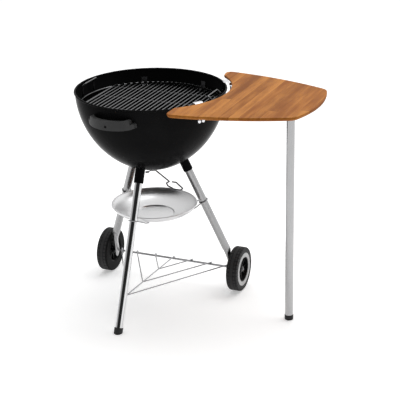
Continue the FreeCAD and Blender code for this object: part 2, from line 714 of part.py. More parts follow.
def make_handle(degrees, tilt, outer_space):
    """Moulded bowl handle: a bowed grip with a raised horn and a hooked tab at each end."""
    low = HANDLE_LOW_Z
    high = HANDLE_HIGH_Z
    horn = high + 3.5
    tab = high - 9.0
    notch = high - 12.0
    half = [(0, low), (48, low + 0.8), (68, low + 2.5), (HANDLE_HALF, low + 6), (HANDLE_HALF, tab - 3),
            (75, tab), (72, tab), (70, notch), (68.5, notch), (66, horn - 3), (62, horn),
            (57, horn - 1), (48, high), (0, high)]
    outline = [Vector(0, y, z) for y, z in half]
    outline += [Vector(0, -y, z) for y, z in reversed(half[1:-1])]
    face = Part.Face(Part.makePolygon(outline + outline[:1]))
    block = face.extrude(X_AXIS * (HANDLE_REACH + HANDLE_CURVE))
    centre = Vector(HANDLE_REACH - HANDLE_CURVE, 0, 0)
    band = Part.makeCylinder(HANDLE_CURVE, BIG, centre)
    band = band.cut(Part.makeCylinder(HANDLE_CURVE - HANDLE_THICKNESS, BIG, centre))
    near_side = box(Vector(centre.x, -BIG, 0), Vector(BIG, BIG, BIG))
    grip = block.common(band).common(near_side)
    recess = Part.makeCylinder(4.0, 6.0, Vector(HANDLE_REACH - 4, 0, HANDLE_SCREW_Z), X_AXIS)
    grip = grip.cut(recess)
    grip = turned(grip, tilt, Vector(0, 0, HANDLE_SCREW_Z), X_AXIS)
    return turned(grip, degrees).cut(outer_space)


def make_handle_bracket(degrees, tilt, outer_space):
    """Steel strap behind a grip, with two feet on the bowl."""
    sheet = 2.0
    width = 14.0
    back = HANDLE_REACH - HANDLE_THICKNESS - sheet / 2 - SLIP
    foot = 40.0
    bow = chord_half(HANDLE_CURVE - HANDLE_THICKNESS, foot)
    end_back = HANDLE_REACH - HANDLE_CURVE + bow - sheet
    path = [Vector(BOWL_RADIUS - 10, -foot - 2, 0), Vector(end_back - 4, -foot, 0),
            Vector(back - 2, -14, 0), Vector(back - 2, 14, 0), Vector(end_back - 4, foot, 0),
            Vector(BOWL_RADIUS - 10, foot + 2, 0)]
    run = (path[1] - path[0]).normalize()
    side = run.cross(Z_AXIS) * (sheet / 2)
    rise = Z_AXIS * (width / 2)
    corners = [path[0] + side + rise, path[0] - side + rise, path[0] - side - rise, path[0] + side - rise]
    section = Part.makePolygon(corners + corners[:1])
    bracket = bent_path(path, 4.0).makePipeShell([section], True, False)
    bracket.translate(Vector(0, 0, HANDLE_SCREW_Z))
    bracket = turned(bracket, tilt, Vector(0, 0, HANDLE_SCREW_Z), X_AXIS)
    return turned(bracket, degrees).cut(outer_space)


def make_handle_screw(degrees):
    """Screw sunk in the middle of a grip, down to the strap behind it."""
    head_x = HANDLE_REACH - 4
    tip_x = HANDLE_REACH - HANDLE_THICKNESS - 5
    start = Vector(head_x, 0, HANDLE_SCREW_Z)
    screw = Part.makeCylinder(3.6, 1.8, start, X_AXIS)
    return turned(screw.fuse(rod(start, Vector(tip_x, 0, HANDLE_SCREW_Z), 3.6)), degrees)


def rack_front():
    """Point inside the front leg's tube where the rack's spine is plugged in."""
    centre = leg_point(FRONT_ANGLE, RACK_FRONT_Z)
    return centre + Y_AXIS * (LEG_DIAMETER / 2 - 2 * LEG_WALL)


def rack_point(x, y):
    """Point on the rack's gently falling plane."""
    axle_top = WHEEL_RADIUS + (AXLE_DIAMETER + RACK_WIRE) / 2 + SLIP
    front = rack_front()
    share = (AXLE_Y - y) / (AXLE_Y - front.y)
    return Vector(x, y, axle_top + (front.z - axle_top) * share)


def rack_arm(start, end_x):
    """Rack wire from a point to the axle, hooked down behind it."""
    over = rack_point(end_x, AXLE_Y)
    behind = over + Y_AXIS * 7.5
    return bent_wire([start, over, behind, behind - Z_AXIS * 10], RACK_WIRE, RACK_WIRE)


def make_rack():
    """Bottom rack of chevron wires between the front leg and the axle."""
    front = rack_front()
    parts = [rack_arm(front, 0)]
    for apex_y, half_width in zip((front.y + 4 * RACK_WIRE,) + RACK_APEX_Y, RACK_HALF_WIDTH):
        for side in (1, -1):
            parts.append(rack_arm(rack_point(0, apex_y), side * half_width))
    return fused(parts)


def build_pieces():
    """All pieces by node name."""
    outer_space = filled_bowl()
    inner_space = filled_bowl(BOWL_WALL)
    pieces = {
        "bowl": make_bowl(outer_space, inner_space),
        "front_leg": make_front_leg(),
        "front_foot_cap": make_front_foot(),
        "axle": make_axle(),
        "bottom_rack": make_rack(),
        "ash_pan": make_ash_pan(),
        "vent_lever": make_lever(),
        "sweep_stem": make_stem(),
        "sweep_vanes": make_sweep_vanes(),
        "sweep_split_pin": make_cotter(),
        "cooking_grate": make_cooking_grate(),
        "charcoal_grate": make_charcoal_grate(),
    }
    clip = make_clip()
    for name, degrees in (("front", FRONT_ANGLE), ("right", RIGHT_ANGLE), ("left", LEFT_ANGLE)):
        pieces[name + "_leg_socket"] = make_socket(degrees, outer_space)
        pieces[name + "_pan_clip"] = turned(clip, degrees)
    for name, side in (("left", -1), ("right", 1)):
        pieces[name + "_leg"] = make_wheel_leg(side)
        pieces[name + "_tyre"] = make_tyre(side)
        pieces[name + "_whitewall"] = make_whitewall(side)
        pieces[name + "_hub"] = make_hub(side)
        pieces[name + "_axle_cap"] = make_axle_cap(side)
    for name, degrees, tilt in (("front", HANDLE_ANGLE, HANDLE_TILT), ("rear", HANDLE_ANGLE + 180, 0)):
        screw = make_handle_screw(degrees)
        pieces[name + "_handle"] = make_handle(degrees, tilt, outer_space).cut(screw)
        pieces[name + "_handle_strap"] = make_handle_bracket(degrees, tilt, outer_space).cut(screw)
        pieces[name + "_handle_screw"] = screw
    upper = make_supports(GRATE_RING_Z - GRATE_RING / 2 - SLIP, 206.0, 20.0, inner_space)
    lower = make_supports(COAL_GRATE_Z - COAL_GRATE_BAR / 2 - SLIP, 150.0, 12.0, inner_space)
    pieces["cooking_grate_supports"] = Part.makeCompound(upper)
    pieces["charcoal_grate_supports"] = Part.makeCompound(lower)
    pieces.update(build_table())
    return pieces


def build_table():
    """The side table's pieces by node name."""
    flange_low = BOARD_TOP_Z - BOARD_THICKNESS - BRACKET_SHEET
    plate_low = BOARD_TOP_Z - BOARD_THICKNESS - PLATE_SHEET
    pieces = {
        "table_board": make_board(),
        "table_leg": make_table_leg(),
        "table_leg_flange": make_table_flange(),
        "table_foot_cap": make_table_foot(),
    }
    screws = []
    for name, degrees in zip(("front", "rear"), BRACKET_ANGLES):
        pieces[name + "_bracket"] = turned(make_bracket(), degrees)
        studs = [turned(stud, degrees) for stud in make_bracket_studs()]
        pieces[name + "_bracket_studs"] = Part.makeCompound(studs)
        for x in (278.0, 298.0):
            screws.append(turned(make_pan_screw(x, 0, flange_low), degrees))
    for number in range(4):
        corner = polar(26.0, 45 + 90 * number)
        screws.append(make_pan_screw(TABLE_LEG_X + corner.x, TABLE_LEG_Y + corner.y, plate_low))
    pieces["table_screws"] = Part.makeCompound(screws)
    return pieces


def main():
    """Build every piece, move the origin under the middle of the whole object and write the files."""
    os.makedirs("parts", exist_ok=True)
    pieces = build_pieces()
    whole = Part.makeCompound(list(pieces.values())).optimalBoundingBox(False, False)
    shift = Vector(-(whole.XMin + whole.XMax) / 2, -(whole.YMin + whole.YMax) / 2, 0)
    print("shift", shift, "box", whole)
    for name, shape in pieces.items():
        shape = moved(shape, shift)
        if not shape.isValid() or shape.Volume <= 0:
            print("check the shape of", name)
        shape.exportStep(os.path.join("parts", name + ".step"))


main()
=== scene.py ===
import logging
import math
from dataclasses import dataclass, field
from enum import Enum

import bpy
from mathutils import Matrix, Vector


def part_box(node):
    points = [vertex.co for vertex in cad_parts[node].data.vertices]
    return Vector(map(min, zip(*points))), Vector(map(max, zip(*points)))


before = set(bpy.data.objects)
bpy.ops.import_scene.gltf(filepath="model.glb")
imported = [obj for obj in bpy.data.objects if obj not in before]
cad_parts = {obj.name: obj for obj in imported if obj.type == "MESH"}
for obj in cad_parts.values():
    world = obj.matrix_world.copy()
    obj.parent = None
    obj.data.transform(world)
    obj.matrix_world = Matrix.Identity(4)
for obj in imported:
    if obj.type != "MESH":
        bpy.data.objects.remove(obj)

LOG = logging.getLogger("kettle_grill")
MM = 0.001
BOWL_AXIS = Vector((-0.1481, 0.0224994, 0.0))
FINE_DETAIL = 2.0
WIDE_REACH = (0.2, 0.8)
HALF_REACH = (0.25, 0.75)
MIDDLE_REACH = (0.3, 0.7)
DUST_REACH = (0.35, 0.75)


class Op(Enum):
    """Arithmetic that a socket offers."""

    ADD = "ADD"
    SUBTRACT = "SUBTRACT"
    MULTIPLY = "MULTIPLY"
    DIVIDE = "DIVIDE"
    POWER = "POWER"
    FLOOR = "FLOOR"
    FRACTION = "FRACT"
    ABSOLUTE = "ABSOLUTE"
    SINE = "SINE"
    ARCTAN2 = "ARCTAN2"
    MAXIMUM = "MAXIMUM"


class Axis(Enum):
    """Directions that a grain or brush mark can run along."""

    X = 0
    Y = 1
    Z = 2


class Socket:
    """One output of a node, with arithmetic on it."""

    def __init__(self, tree: "Tree", output: bpy.types.NodeSocket) -> None:
        """Wrap an output.

        Args:
            tree: The tree that holds the node.
            output: The node's output.
        """
        self.tree = tree
        self.output = output

    def _math(self, op: Op, first: "Socket | float", second: "Socket | float" = 0.0) -> "Socket":
        """Join two values by a Math node.

        Args:
            op: The arithmetic to do.
            first: Left value.
            second: Right value.

        Returns:
            The node's value.
        """
        return self.tree.node("ShaderNodeMath", {"operation": op.value}, {0: first, 1: second})

    def __add__(self, other: "Socket | float") -> "Socket":
        """Add, see _math.

        Args:
            other: Value to add.

        Returns:
            The sum.
        """
        return self._math(Op.ADD, self, other)

    def __sub__(self, other: "Socket | float") -> "Socket":
        """Subtract, see _math.

        Args:
            other: Value to take away.

        Returns:
            The difference.
        """
        return self._math(Op.SUBTRACT, self, other)

    def __rsub__(self, other: float) -> "Socket":
        """Subtract from a number, see _math.

        Args:
            other: Value to take this from.

        Returns:
            The difference.
        """
        return self._math(Op.SUBTRACT, other, self)

    def __mul__(self, other: "Socket | float") -> "Socket":
        """Multiply, see _math.

        Args:
            other: Factor.

        Returns:
            The product.
        """
        return self._math(Op.MULTIPLY, self, other)

    def __truediv__(self, other: "Socket | float") -> "Socket":
        """Divide, see _math.

        Args:
            other: Divisor.

        Returns:
            The quotient.
        """
        return self._math(Op.DIVIDE, self, other)

    def __pow__(self, other: "Socket | float") -> "Socket":
        """Raise to a power, see _math.

        Args:
            other: Exponent.

        Returns:
            The power.
        """
        return self._math(Op.POWER, self, other)

    __radd__ = __add__
    __rmul__ = __mul__

    def apply(self, op: Op, other: "Socket | float" = 0.0) -> "Socket":
        """Do one of the arithmetic operations that have no sign of their own.

        Args:
            op: The arithmetic to do.
            other: Second value, where there is one.

        Returns:
            The result.
        """
        return self._math(op, self, other)

    def ramp(self, low: float, high: float, start: float = 0.0, end: float = 1.0) -> "Socket":
        """Map a range smoothly onto another one.

        Args:
            low: Value that gives start.
            high: Value that gives end.
            start: Result at low.
            end: Result at high.

        Returns:
            The mapped value.
        """
        settings = {"interpolation_type": "SMOOTHSTEP"}
        return self.tree.node("ShaderNodeMapRange", settings, {0: self, 1: low, 2: high, 3: start, 4: end})


class Tree:
    """A node tree that is built by short calls."""

    def __init__(self, tree: bpy.types.NodeTree) -> None:
        """Take over a tree and empty it.

        Args:
            tree: The tree to build in.
        """
        self.tree = tree
        self.tree.nodes.clear()

    def node(self, kind: str, settings: dict, inputs: dict, output: "int | str" = 0) -> "Socket | None":
        """Add a node.

        Args:
            kind: Node type.
            settings: Node attributes by name.
            inputs: Values or sockets by input name or number.
            output: Which output to return.

        Returns:
            The chosen output, or None for a node that has none.
        """
        made = self.tree.nodes.new(kind)
        for name, value in settings.items():
            setattr(made, name, value)
        for name, value in inputs.items():
            if isinstance(value, Socket):
                self.tree.links.new(value.output, made.inputs[name])
            else:
                made.inputs[name].default_value = value
        return Socket(self, made.outputs[output]) if made.outputs else None

    def place(self) -> Socket:
        """Return each point's place in the object's own frame.

        Returns:
            A vector in metres.
        """
        return self.node("ShaderNodeTexCoord", {}, {}, "Object")

    def stretched(self, place: Socket, scale: tuple[float, float, float]) -> Socket:
        """Scale a place along each axis.

        Args:
            place: The place.
            scale: Factor along X, Y and Z.

        Returns:
            The scaled vector.
        """
        return self.node("ShaderNodeVectorMath", {"operation": "MULTIPLY"}, {0: place, 1: scale})

    def parts(self, vector: Socket) -> tuple[Socket, Socket, Socket]:
        """Split a vector.

        Args:
            vector: The vector.

        Returns:
            Its X, Y and Z.
        """
        made = self.node("ShaderNodeSeparateXYZ", {}, {0: vector}).output.node
        return tuple(Socket(self, made.outputs[number]) for number in range(3))

    def joined(self, x: "Socket | float", y: "Socket | float", z: "Socket | float") -> Socket:
        """Make a vector.

        Args:
            x: First part.
            y: Second part.
            z: Third part.

        Returns:
            The vector.
        """
        return self.node("ShaderNodeCombineXYZ", {}, {0: x, 1: y, 2: z})

    def noise(self, place: Socket, scale: float, detail: float = 3.0) -> Socket:
        """Cloudy noise from 0 to 1.

        Args:
            place: Where to read it.
            scale: Clouds per metre.
            detail: Layers of finer noise.

        Returns:
            The noise value.
        """
        return self.node("ShaderNodeTexNoise", {}, {"Vector": place, "Scale": scale, "Detail": detail})

    def chance(self, place: Socket) -> Socket:
        """One fixed chance value from 0 to 1 for each distinct vector.

        Args:
            place: The vector.

        Returns:
            The value.
        """
        return self.node("ShaderNodeTexWhiteNoise", {"noise_dimensions": "3D"}, {"Vector": place})

    def blend(self, factor: "Socket | float", first: object, second: object) -> Socket:
        """Mix two colours.

        Args:
            factor: 0 for the first, 1 for the second.
            first: Colour or socket.
            second: Colour or socket.

        Returns:
            The mixed colour.
        """
        settings = {"data_type": "RGBA"}
        return self.node("ShaderNodeMix", settings, {0: factor, 6: colour(first), 7: colour(second)}, 2)

    def bump(self, height: Socket, depth: float, strength: float = 1.0) -> Socket:
        """Turn a height into a normal.

        Args:
            height: Height from 0 to 1.
            depth: Metres that a height of 1 stands for.
            strength: Share of the effect.

        Returns:
            The normal.
        """
        return self.node("ShaderNodeBump", {}, {"Height": height, "Distance": depth, "Strength": strength})


def colour(value: object) -> object:
    """Add the alpha that a colour input wants.

    Args:
        value: A socket or three numbers.

    Returns:
        The socket, or four numbers.
    """
    return value if isinstance(value, Socket) else (*value, 1.0)


@dataclass(frozen=True)
class Finish:
    """What every finish has in common."""

    name: str
    tint: tuple[float, float, float]
    roughness: float

    def inputs(self, tree: Tree) -> dict:
        """Give the shader's inputs.

        Args:
            tree: The material's tree.

        Returns:
            Values and sockets by input name.
        """
        raise NotImplementedError

    def varied(self, factor: Socket, reach: tuple[float, float], spread: tuple[float, float]) -> Socket:
        """Vary the roughness around its value.

        Args:
            factor: What the roughness follows, from 0 to 1.
            reach: Values of the factor between which it varies.
            spread: Shares of the roughness at both ends.

        Returns:
            The roughness.
        """
        return factor.ramp(*reach, self.roughness * spread[0], self.roughness * spread[1])

    def material(self) -> bpy.types.Material:
        """Build the material once.

        Returns:
            The material.
        """
        label = "look_" + self.name
        found = bpy.data.materials.get(label)
        if found:
            return found
        made = bpy.data.materials.new(label)
        made.use_nodes = True
        tree = Tree(made.node_tree)
        shader = tree.node("ShaderNodeBsdfPrincipled", {}, self.inputs(tree))
        tree.node("ShaderNodeOutputMaterial", {}, {"Surface": shader})
        return made


@dataclass(frozen=True)
class Enamel(Finish):
    """Baked glossy enamel with a faint orange-peel surface and fine dust."""

    peel: float = 0.05 * MM
    dust: float = 0.002
    sheen_index: float = 1.06
    cloud_scale: float = 9.0
    cloud_reach: tuple[float, float] = (0.35, 0.7)
    peel_scale: float = 420.0
    peel_strength: float = 0.25
    spread: tuple[float, float] = (0.85, 1.2)

    def inputs(self, tree: Tree) -> dict:
        """Give the shader's inputs.

        Args:
            tree: The material's tree.

        Returns:
            Values and sockets by input name.
        """
        place = tree.place()
        cloud = tree.noise(place, self.cloud_scale)
        fine = tree.noise(place, self.peel_scale, FINE_DETAIL)
        pale = tuple(part + self.dust for part in self.tint)
        return {
            "Base Color": tree.blend(cloud.ramp(*self.cloud_reach), self.tint, pale),
            "Roughness": self.varied(cloud, WIDE_REACH, self.spread),
            "IOR": self.sheen_index,
            "Normal": tree.bump(fine, self.peel, self.peel_strength),
        }


@dataclass(frozen=True)
class Metal(Finish):
    """Bare or plated metal with fine marks along one axis."""

    along: Axis = Axis.Z
    marks: float = 0.12
    dulling: float = 0.1
    across_scale: float = 900.0
    along_scale: float = 25.0
    cloud_scale: float = 14.0
    mark_share: float = 0.6
    depth: float = 0.01 * MM
    strength: float = 0.3

    def inputs(self, tree: Tree) -> dict:
        """Give the shader's inputs.

        Args:
            tree: The material's tree.

        Returns:
            Values and sockets by input name.
        """
        place = tree.place()
        scale = [self.across_scale] * len(Axis)
        scale[self.along.value] = self.along_scale
        marks = tree.noise(tree.stretched(place, tuple(scale)), 1.0, FINE_DETAIL)
        cloud = tree.noise(place, self.cloud_scale)
        dull = tuple(part * (1 - self.dulling) for part in self.tint)
        factor = marks * self.mark_share + cloud * (1 - self.mark_share)
        return {
            "Base Color": tree.blend(factor.ramp(*MIDDLE_REACH), dull, self.tint),
            "Metallic": 1.0,
            "Roughness": self.varied(factor, HALF_REACH, (1 - self.marks, 1 + self.marks)),
            "Normal": tree.bump(marks, self.depth, self.strength),
        }


@dataclass(frozen=True)
class Spun(Finish):
    """Sheet metal spun on a lathe: marks run round an upright axis."""

    centre: tuple[float, float] = (BOWL_AXIS.x, BOWL_AXIS.y)
    pitch: float = 0.9 * MM
    cloud_scale: float = 12.0
    dulling: float = 0.12
    ring_share: float = 0.7
    spread: tuple[float, float] = (0.85, 1.2)
    depth: float = 0.01 * MM
    strength: float = 0.12

    def inputs(self, tree: Tree) -> dict:
        """Give the shader's inputs.

        Args:
            tree: The material's tree.

        Returns:
            Values and sockets by input name.
        """
        x, y, _ = tree.parts(tree.place())
        x = x - self.centre[0]
        y = y - self.centre[1]
        reach = (x * x + y * y) ** 0.5
        rings = tree.noise(tree.joined(reach / self.pitch, 0.0, 0.0), 1.0)
        cloud = tree.noise(tree.place(), self.cloud_scale)
        dull = tuple(part * (1 - self.dulling) for part in self.tint)
        factor = rings * self.ring_share + cloud * (1 - self.ring_share)
        return {
            "Base Color": tree.blend(factor.ramp(*MIDDLE_REACH), dull, self.tint),
            "Metallic": 1.0,
            "Roughness": self.varied(factor, HALF_REACH, self.spread),
            "Normal": tree.bump(rings, self.depth, self.strength),
        }


@dataclass(frozen=True)
class Moulded(Finish):
    """Moulded plastic or rubber with a fine pebbled grain."""

    grain: float = 1500.0
    depth: float = 0.06 * MM
    fade: float = 0.25
    sheen_index: float = 1.3
    cloud_scale: float = 22.0
    spread: tuple[float, float] = (0.9, 1.1)
    strength: float = 0.4

    def inputs(self, tree: Tree) -> dict:
        """Give the shader's inputs.

        Args:
            tree: The material's tree.

        Returns:
            Values and sockets by input name.
        """
        place = tree.place()
        grain = tree.noise(place, self.grain, FINE_DETAIL)
        cloud = tree.noise(place, self.cloud_scale)
        pale = tuple(part * (1 + self.fade) for part in self.tint)
        return {
            "Base Color": tree.blend(cloud.ramp(*MIDDLE_REACH), self.tint, pale),
            "Roughness": self.varied(cloud, WIDE_REACH, self.spread),
            "IOR": self.sheen_index,
            "Normal": tree.bump(grain, self.depth, self.strength),
        }


@dataclass(frozen=True)
class Tread(Finish):
    """Rubber with ribs round the wheel and cross cuts near its shoulders, with painted shade in the grooves
    and a near-black painted shade on the inner side, where the solid tyre stands in for a recess.
    """

    hub: tuple[float, float] = (0.0, 0.0)
    crown: float = 66.0 * MM
    middle: float = 0.0
    inward: float = 1.0
    half_width: float = 18.35 * MM
    blocks: float = 36.0
    ribs: float = 760.0
    rib_reach: tuple[float, float] = (-0.9, -0.5)
    cut_reach: tuple[float, float] = (-0.9, -0.45)
    cut_start: tuple[float, float] = (4.0 * MM, 5.0 * MM)
    crown_edge: float = 3.0 * MM
    inner_edge: tuple[float, float] = (4.0 * MM, 1.5 * MM)
    grain_scale: float = 900.0
    grain_share: float = 0.04
    dust_scale: float = 30.0
    # Shares of the tint: dust on the block faces, then painted shade in the grooves and on the inner side.
    dusty: float = 1.35
    groove_shade: float = 0.5
    inner_shade: float = 0.08
    sheen_index: float = 1.18
    spread: tuple[float, float] = (0.9, 1.1)
    depth: float = 1.2 * MM
    strength: float = 0.8

    def inputs(self, tree: Tree) -> dict:
        """Give the shader's inputs.

        Args:
            tree: The material's tree.

        Returns:
            Values and sockets by input name.
        """
        place = tree.place()
        x, y, z = tree.parts(place)
        y = y - self.hub[0]
        z = z - self.hub[1]
        reach = (y * y + z * z) ** 0.5
        turn = z.apply(Op.ARCTAN2, y)
        across = (x - self.middle).apply(Op.ABSOLUTE)
        grooves = (across * self.ribs).apply(Op.SINE).ramp(*self.rib_reach)
        cuts = (turn * self.blocks).apply(Op.SINE).ramp(*self.cut_reach)
        outer = reach.ramp(self.crown - self.crown_edge, self.crown)
        edge = across.ramp(*self.cut_start)
        height = 1.0 - (1.0 - grooves * (1.0 - (1.0 - cuts) * edge)) * outer
        grain = tree.noise(place, self.grain_scale, FINE_DETAIL)
        # Painted shade: a darker copy of the tint fills the grooves, and a near-black one covers the inner
        # side as the shade of the wheel's recess.
        dusty, groove_shade, inner_shade = (tuple(part * share for part in self.tint)
                                 for share in (self.dusty, self.groove_shade, self.inner_shade))
        face = tree.blend(tree.noise(place, self.dust_scale).ramp(*DUST_REACH), self.tint, dusty)
        # Mask of the painted inner-side shade, rising towards the inner face.
        start, end = (self.half_width - part for part in self.inner_edge)
        inner_shade_mask = ((x - self.middle) * self.inward).ramp(start, end)
        return {
            "Base Color": tree.blend(inner_shade_mask, tree.blend(height, groove_shade, face), inner_shade),
            "Roughness": self.varied(grain, WIDE_REACH, self.spread),
            "IOR": self.sheen_index,
            "Normal": tree.bump(height + grain * self.grain_share, self.depth, self.strength),
        }


@dataclass(frozen=True)
class Butcher(Finish):
    """Oiled hardwood glued up from narrow staves that run along Y."""

    dark: tuple[float, float, float] = (0.2, 0.06, 0.008)
    pale: tuple[float, float, float] = (0.56, 0.235, 0.05)
    stave: float = 28.0 * MM
    length: float = 0.9
    top: float = 0.708
    band_scale: float = 48.0
    band_detail: float = 4.0
    band_stretch: tuple[float, float] = (0.12, 0.6)
    slip: float = 0.7
    fibre_scale: tuple[float, float, float] = (1900.0, 45.0, 900.0)
    pore_scale: tuple[float, float, float] = (2600.0, 130.0, 1200.0)
    pore_reach: tuple[float, float] = (0.62, 0.75)
    pore_share: float = 0.45
    side_seam: tuple[float, float] = (0.487, 0.498)
    end_seam: tuple[float, float] = (0.4975, 0.4995)
    seam_share: float = 0.55
    tone_weights: tuple[float, float, float] = (0.45, 1.1, 0.8)
    tone_base: float = 0.72
    tone_reach: tuple[float, float] = (0.14, 0.84)
    rosy: float = 0.35
    edge_depth: tuple[float, float] = (1.2 * MM, 0.3 * MM)
    side_darkening: float = 0.35
    glue: float = 0.35
    sheen_index: float = 1.16
    spread: tuple[float, float] = (0.8, 1.2)
    relief: tuple[float, float] = (0.5, 0.2)
    depth: float = 0.12 * MM
    strength: float = 0.45

    def inputs(self, tree: Tree) -> dict:
        """Give the shader's inputs.

        Args:
            tree: The material's tree.

        Returns:
            Values and sockets by input name.
        """
        place = tree.place()
        x, y, z = tree.parts(place)
        column = (x / self.stave).apply(Op.FLOOR)
        stagger = tree.chance(tree.joined(column, 3.0, 1.0))
        run = y / self.length + stagger
        piece = run.apply(Op.FLOOR)
        shade = tree.chance(tree.joined(column, piece, 11.0))
        hue = tree.chance(tree.joined(piece, column, 2.0))
        drift = tree.joined(x + shade * self.slip, y * self.band_stretch[0] + hue, z * self.band_stretch[1])
        bands = tree.noise(drift, self.band_scale, self.band_detail)
        fibre = tree.noise(tree.stretched(place, self.fibre_scale), 1.0)
        pores = tree.noise(tree.stretched(place, self.pore_scale), 1.0, 1.0)
        side_seam = self.from_middle(x / self.stave).ramp(*self.side_seam)
        end_seam = self.from_middle(run).ramp(*self.end_seam)
        seam = side_seam.apply(Op.MAXIMUM, end_seam)
        by_shade, by_band, by_fibre = self.tone_weights
        tone = shade * by_shade + bands * by_band + fibre * by_fibre - self.tone_base
        wood = tree.blend(tone.ramp(*self.tone_reach), self.dark, self.pale)
        rosy = tree.blend(hue * self.rosy, wood, self.tint)
        pored = tree.blend(pores.ramp(*self.pore_reach) * self.pore_share, rosy, self.dark)
        # The board's sides below the top face are blended towards the dark wood tone.
        start, end = (self.top - part for part in self.edge_depth)
        side_darkened = tree.blend((1.0 - z.ramp(start, end)) * self.side_darkening, pored, self.dark)
        glue = tuple(part * self.glue for part in self.dark)
        relief = fibre * self.relief[0] + pores * self.relief[1] - seam
        return {
            "Base Color": tree.blend(seam * self.seam_share, side_darkened, glue),
            "Roughness": self.varied(fibre, WIDE_REACH, self.spread),
            "IOR": self.sheen_index,
            "Normal": tree.bump(relief, self.depth, self.strength),
        }

    def from_middle(self, count: Socket) -> Socket:
        """Give how far a counted run is from the middle of its present step.

        Args:
            count: Place along the run, in steps.

        Returns:
            Half at a joint, nothing halfway between two.
        """
        return (count.apply(Op.FRACTION) - 0.5).apply(Op.ABSOLUTE)


def dress(finish: Finish, *nodes: str) -> None:
    """Give CAD nodes a finish.

    Args:
        finish: The finish.
        nodes: Names of the nodes.
    """
    made = finish.material()
    for name in nodes:
        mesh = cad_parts[name].data
        mesh.materials.clear()
        mesh.materials.append(made)
        LOG.info("dressed %s in %s", name, finish.name)


@dataclass(frozen=True)
class Paper(Finish):
    """Pale backdrop paper that glows a little, as a lit studio sweep does."""

    glow: float = 0.4
    cloud_scale: float = 0.8
    shading: float = 0.995

    def inputs(self, tree: Tree) -> dict:
        """Give the shader's inputs.

        Args:
            tree: The material's tree.

        Returns:
            Values and sockets by input name.
        """
        cloud = tree.noise(tree.place(), self.cloud_scale)
        shaded = tuple(part * self.shading for part in self.tint)
        return {
            "Base Color": tree.blend(cloud, shaded, self.tint),
            "Roughness": self.roughness,
            "Specular IOR Level": 0.0,
            "Emission Color": colour(self.tint),
            "Emission Strength": self.glow,
        }


@dataclass
class Bowl:
    """The enamelled bowl with its leg sockets."""

    shell: Finish = Enamel("bowl_enamel", (0.006, 0.006, 0.0062), 0.2)
    sleeve: Finish = Enamel("socket_enamel", (0.004, 0.004, 0.0045), 0.3)

    def build(self) -> None:
        """Dress the bowl and its sockets."""
        dress(self.shell, "bowl")
        dress(self.sleeve, "front_leg_socket", "left_leg_socket", "right_leg_socket")


@dataclass
class Tripod:
    """The three legs, their foot cap, the axle and the wire rack between them."""

    polished: Finish = Metal("leg_polished", (0.74, 0.74, 0.75), 0.07)
    satin: Finish = Metal("leg_satin", (0.39, 0.39, 0.394), 0.28)
    wire: Finish = Metal("rack_plating", (0.4, 0.4, 0.41), 0.28, Axis.X)
    foot: Finish = Moulded("foot_plastic", (0.03, 0.03, 0.0305), 0.5)

    def build(self) -> None:
        """Dress the legs, the axle, the rack and the foot."""
        dress(self.polished, "front_leg")
        dress(self.satin, "left_leg", "right_leg")
        dress(self.wire, "axle", "bottom_rack")
        dress(self.foot, "front_foot_cap")


@dataclass
class Wheel:
    """One wheel: tyre, pale ring, hub and axle cap."""

    side: str
    tyre_tint: tuple[float, float, float] = (0.036, 0.036, 0.0365)
    ring: Finish = Moulded("wheel_ring", (0.42, 0.42, 0.42), 0.45, 900.0, 0.05 * MM, 0.15)
    hub: Finish = Moulded("hub_plastic", (0.006, 0.006, 0.0062), 0.45)
    # Painted shade: the axle cap is dimmed to the dark of the hub's recess.
    cap: Finish = Metal("axle_cap_painted_shade", (0.12, 0.12, 0.125), 0.35, Axis.X)

    def build(self) -> None:
        """Dress the wheel's nodes."""
        low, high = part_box(self.side + "_tyre")
        middle = (low + high) / 2
        inward = 1.0 if middle.x < BOWL_AXIS.x else -1.0
        tread = Tread(self.side + "_tread", self.tyre_tint, 0.62, (middle.y, middle.z), middle=middle.x,
                      inward=inward)
        dress(tread, self.side + "_tyre")
        dress(self.ring, self.side + "_whitewall")
        dress(self.hub, self.side + "_hub")
        dress(self.cap, self.side + "_axle_cap")


@dataclass
class AshCatcher:
    """The spun dish and the wire clips that hold it."""

    dish: Finish = Spun("dish_aluminium", (0.84, 0.84, 0.845), 0.3)
    clip: Finish = Metal("clip_plating", (0.35, 0.35, 0.36), 0.35, Axis.X)

    def build(self) -> None:
        """Dress the dish and the clips."""
        dress(self.dish, "ash_pan")
        dress(self.clip, "front_pan_clip", "left_pan_clip", "right_pan_clip")


@dataclass
class VentSweep:
    """The lever, stem and vanes that clear the vents."""

    lever: Finish = Metal("lever_plating", (0.11, 0.11, 0.115), 0.32, Axis.X)
    vane: Finish = Spun("vane_aluminium", (0.5, 0.5, 0.51), 0.4)

    def build(self) -> None:
        """Dress the sweep."""
        dress(self.lever, "vent_lever", "sweep_stem", "sweep_split_pin")
        dress(self.vane, "sweep_vanes")


@dataclass
class Grates:
    """The cooking grate, the charcoal grate and their supports."""

    plating: Finish = Metal("grate_plating", (0.14, 0.14, 0.143), 0.2, Axis.Y)
    # Painted shade: the charcoal grate is tinted near black to stand for the shade deep in the bowl seen
    # through the cooking grate.
    coal_grate_shade: Finish = Metal("coal_grate_painted_shade", (0.008, 0.008, 0.0083), 0.6, Axis.Y)
    tab: Finish = Metal("support_steel", (0.1, 0.1, 0.105), 0.45, Axis.X)

    def build(self) -> None:
        """Dress the grates and supports."""
        dress(self.plating, "cooking_grate")
        dress(self.coal_grate_shade, "charcoal_grate")
        dress(self.tab, "cooking_grate_supports", "charcoal_grate_supports")


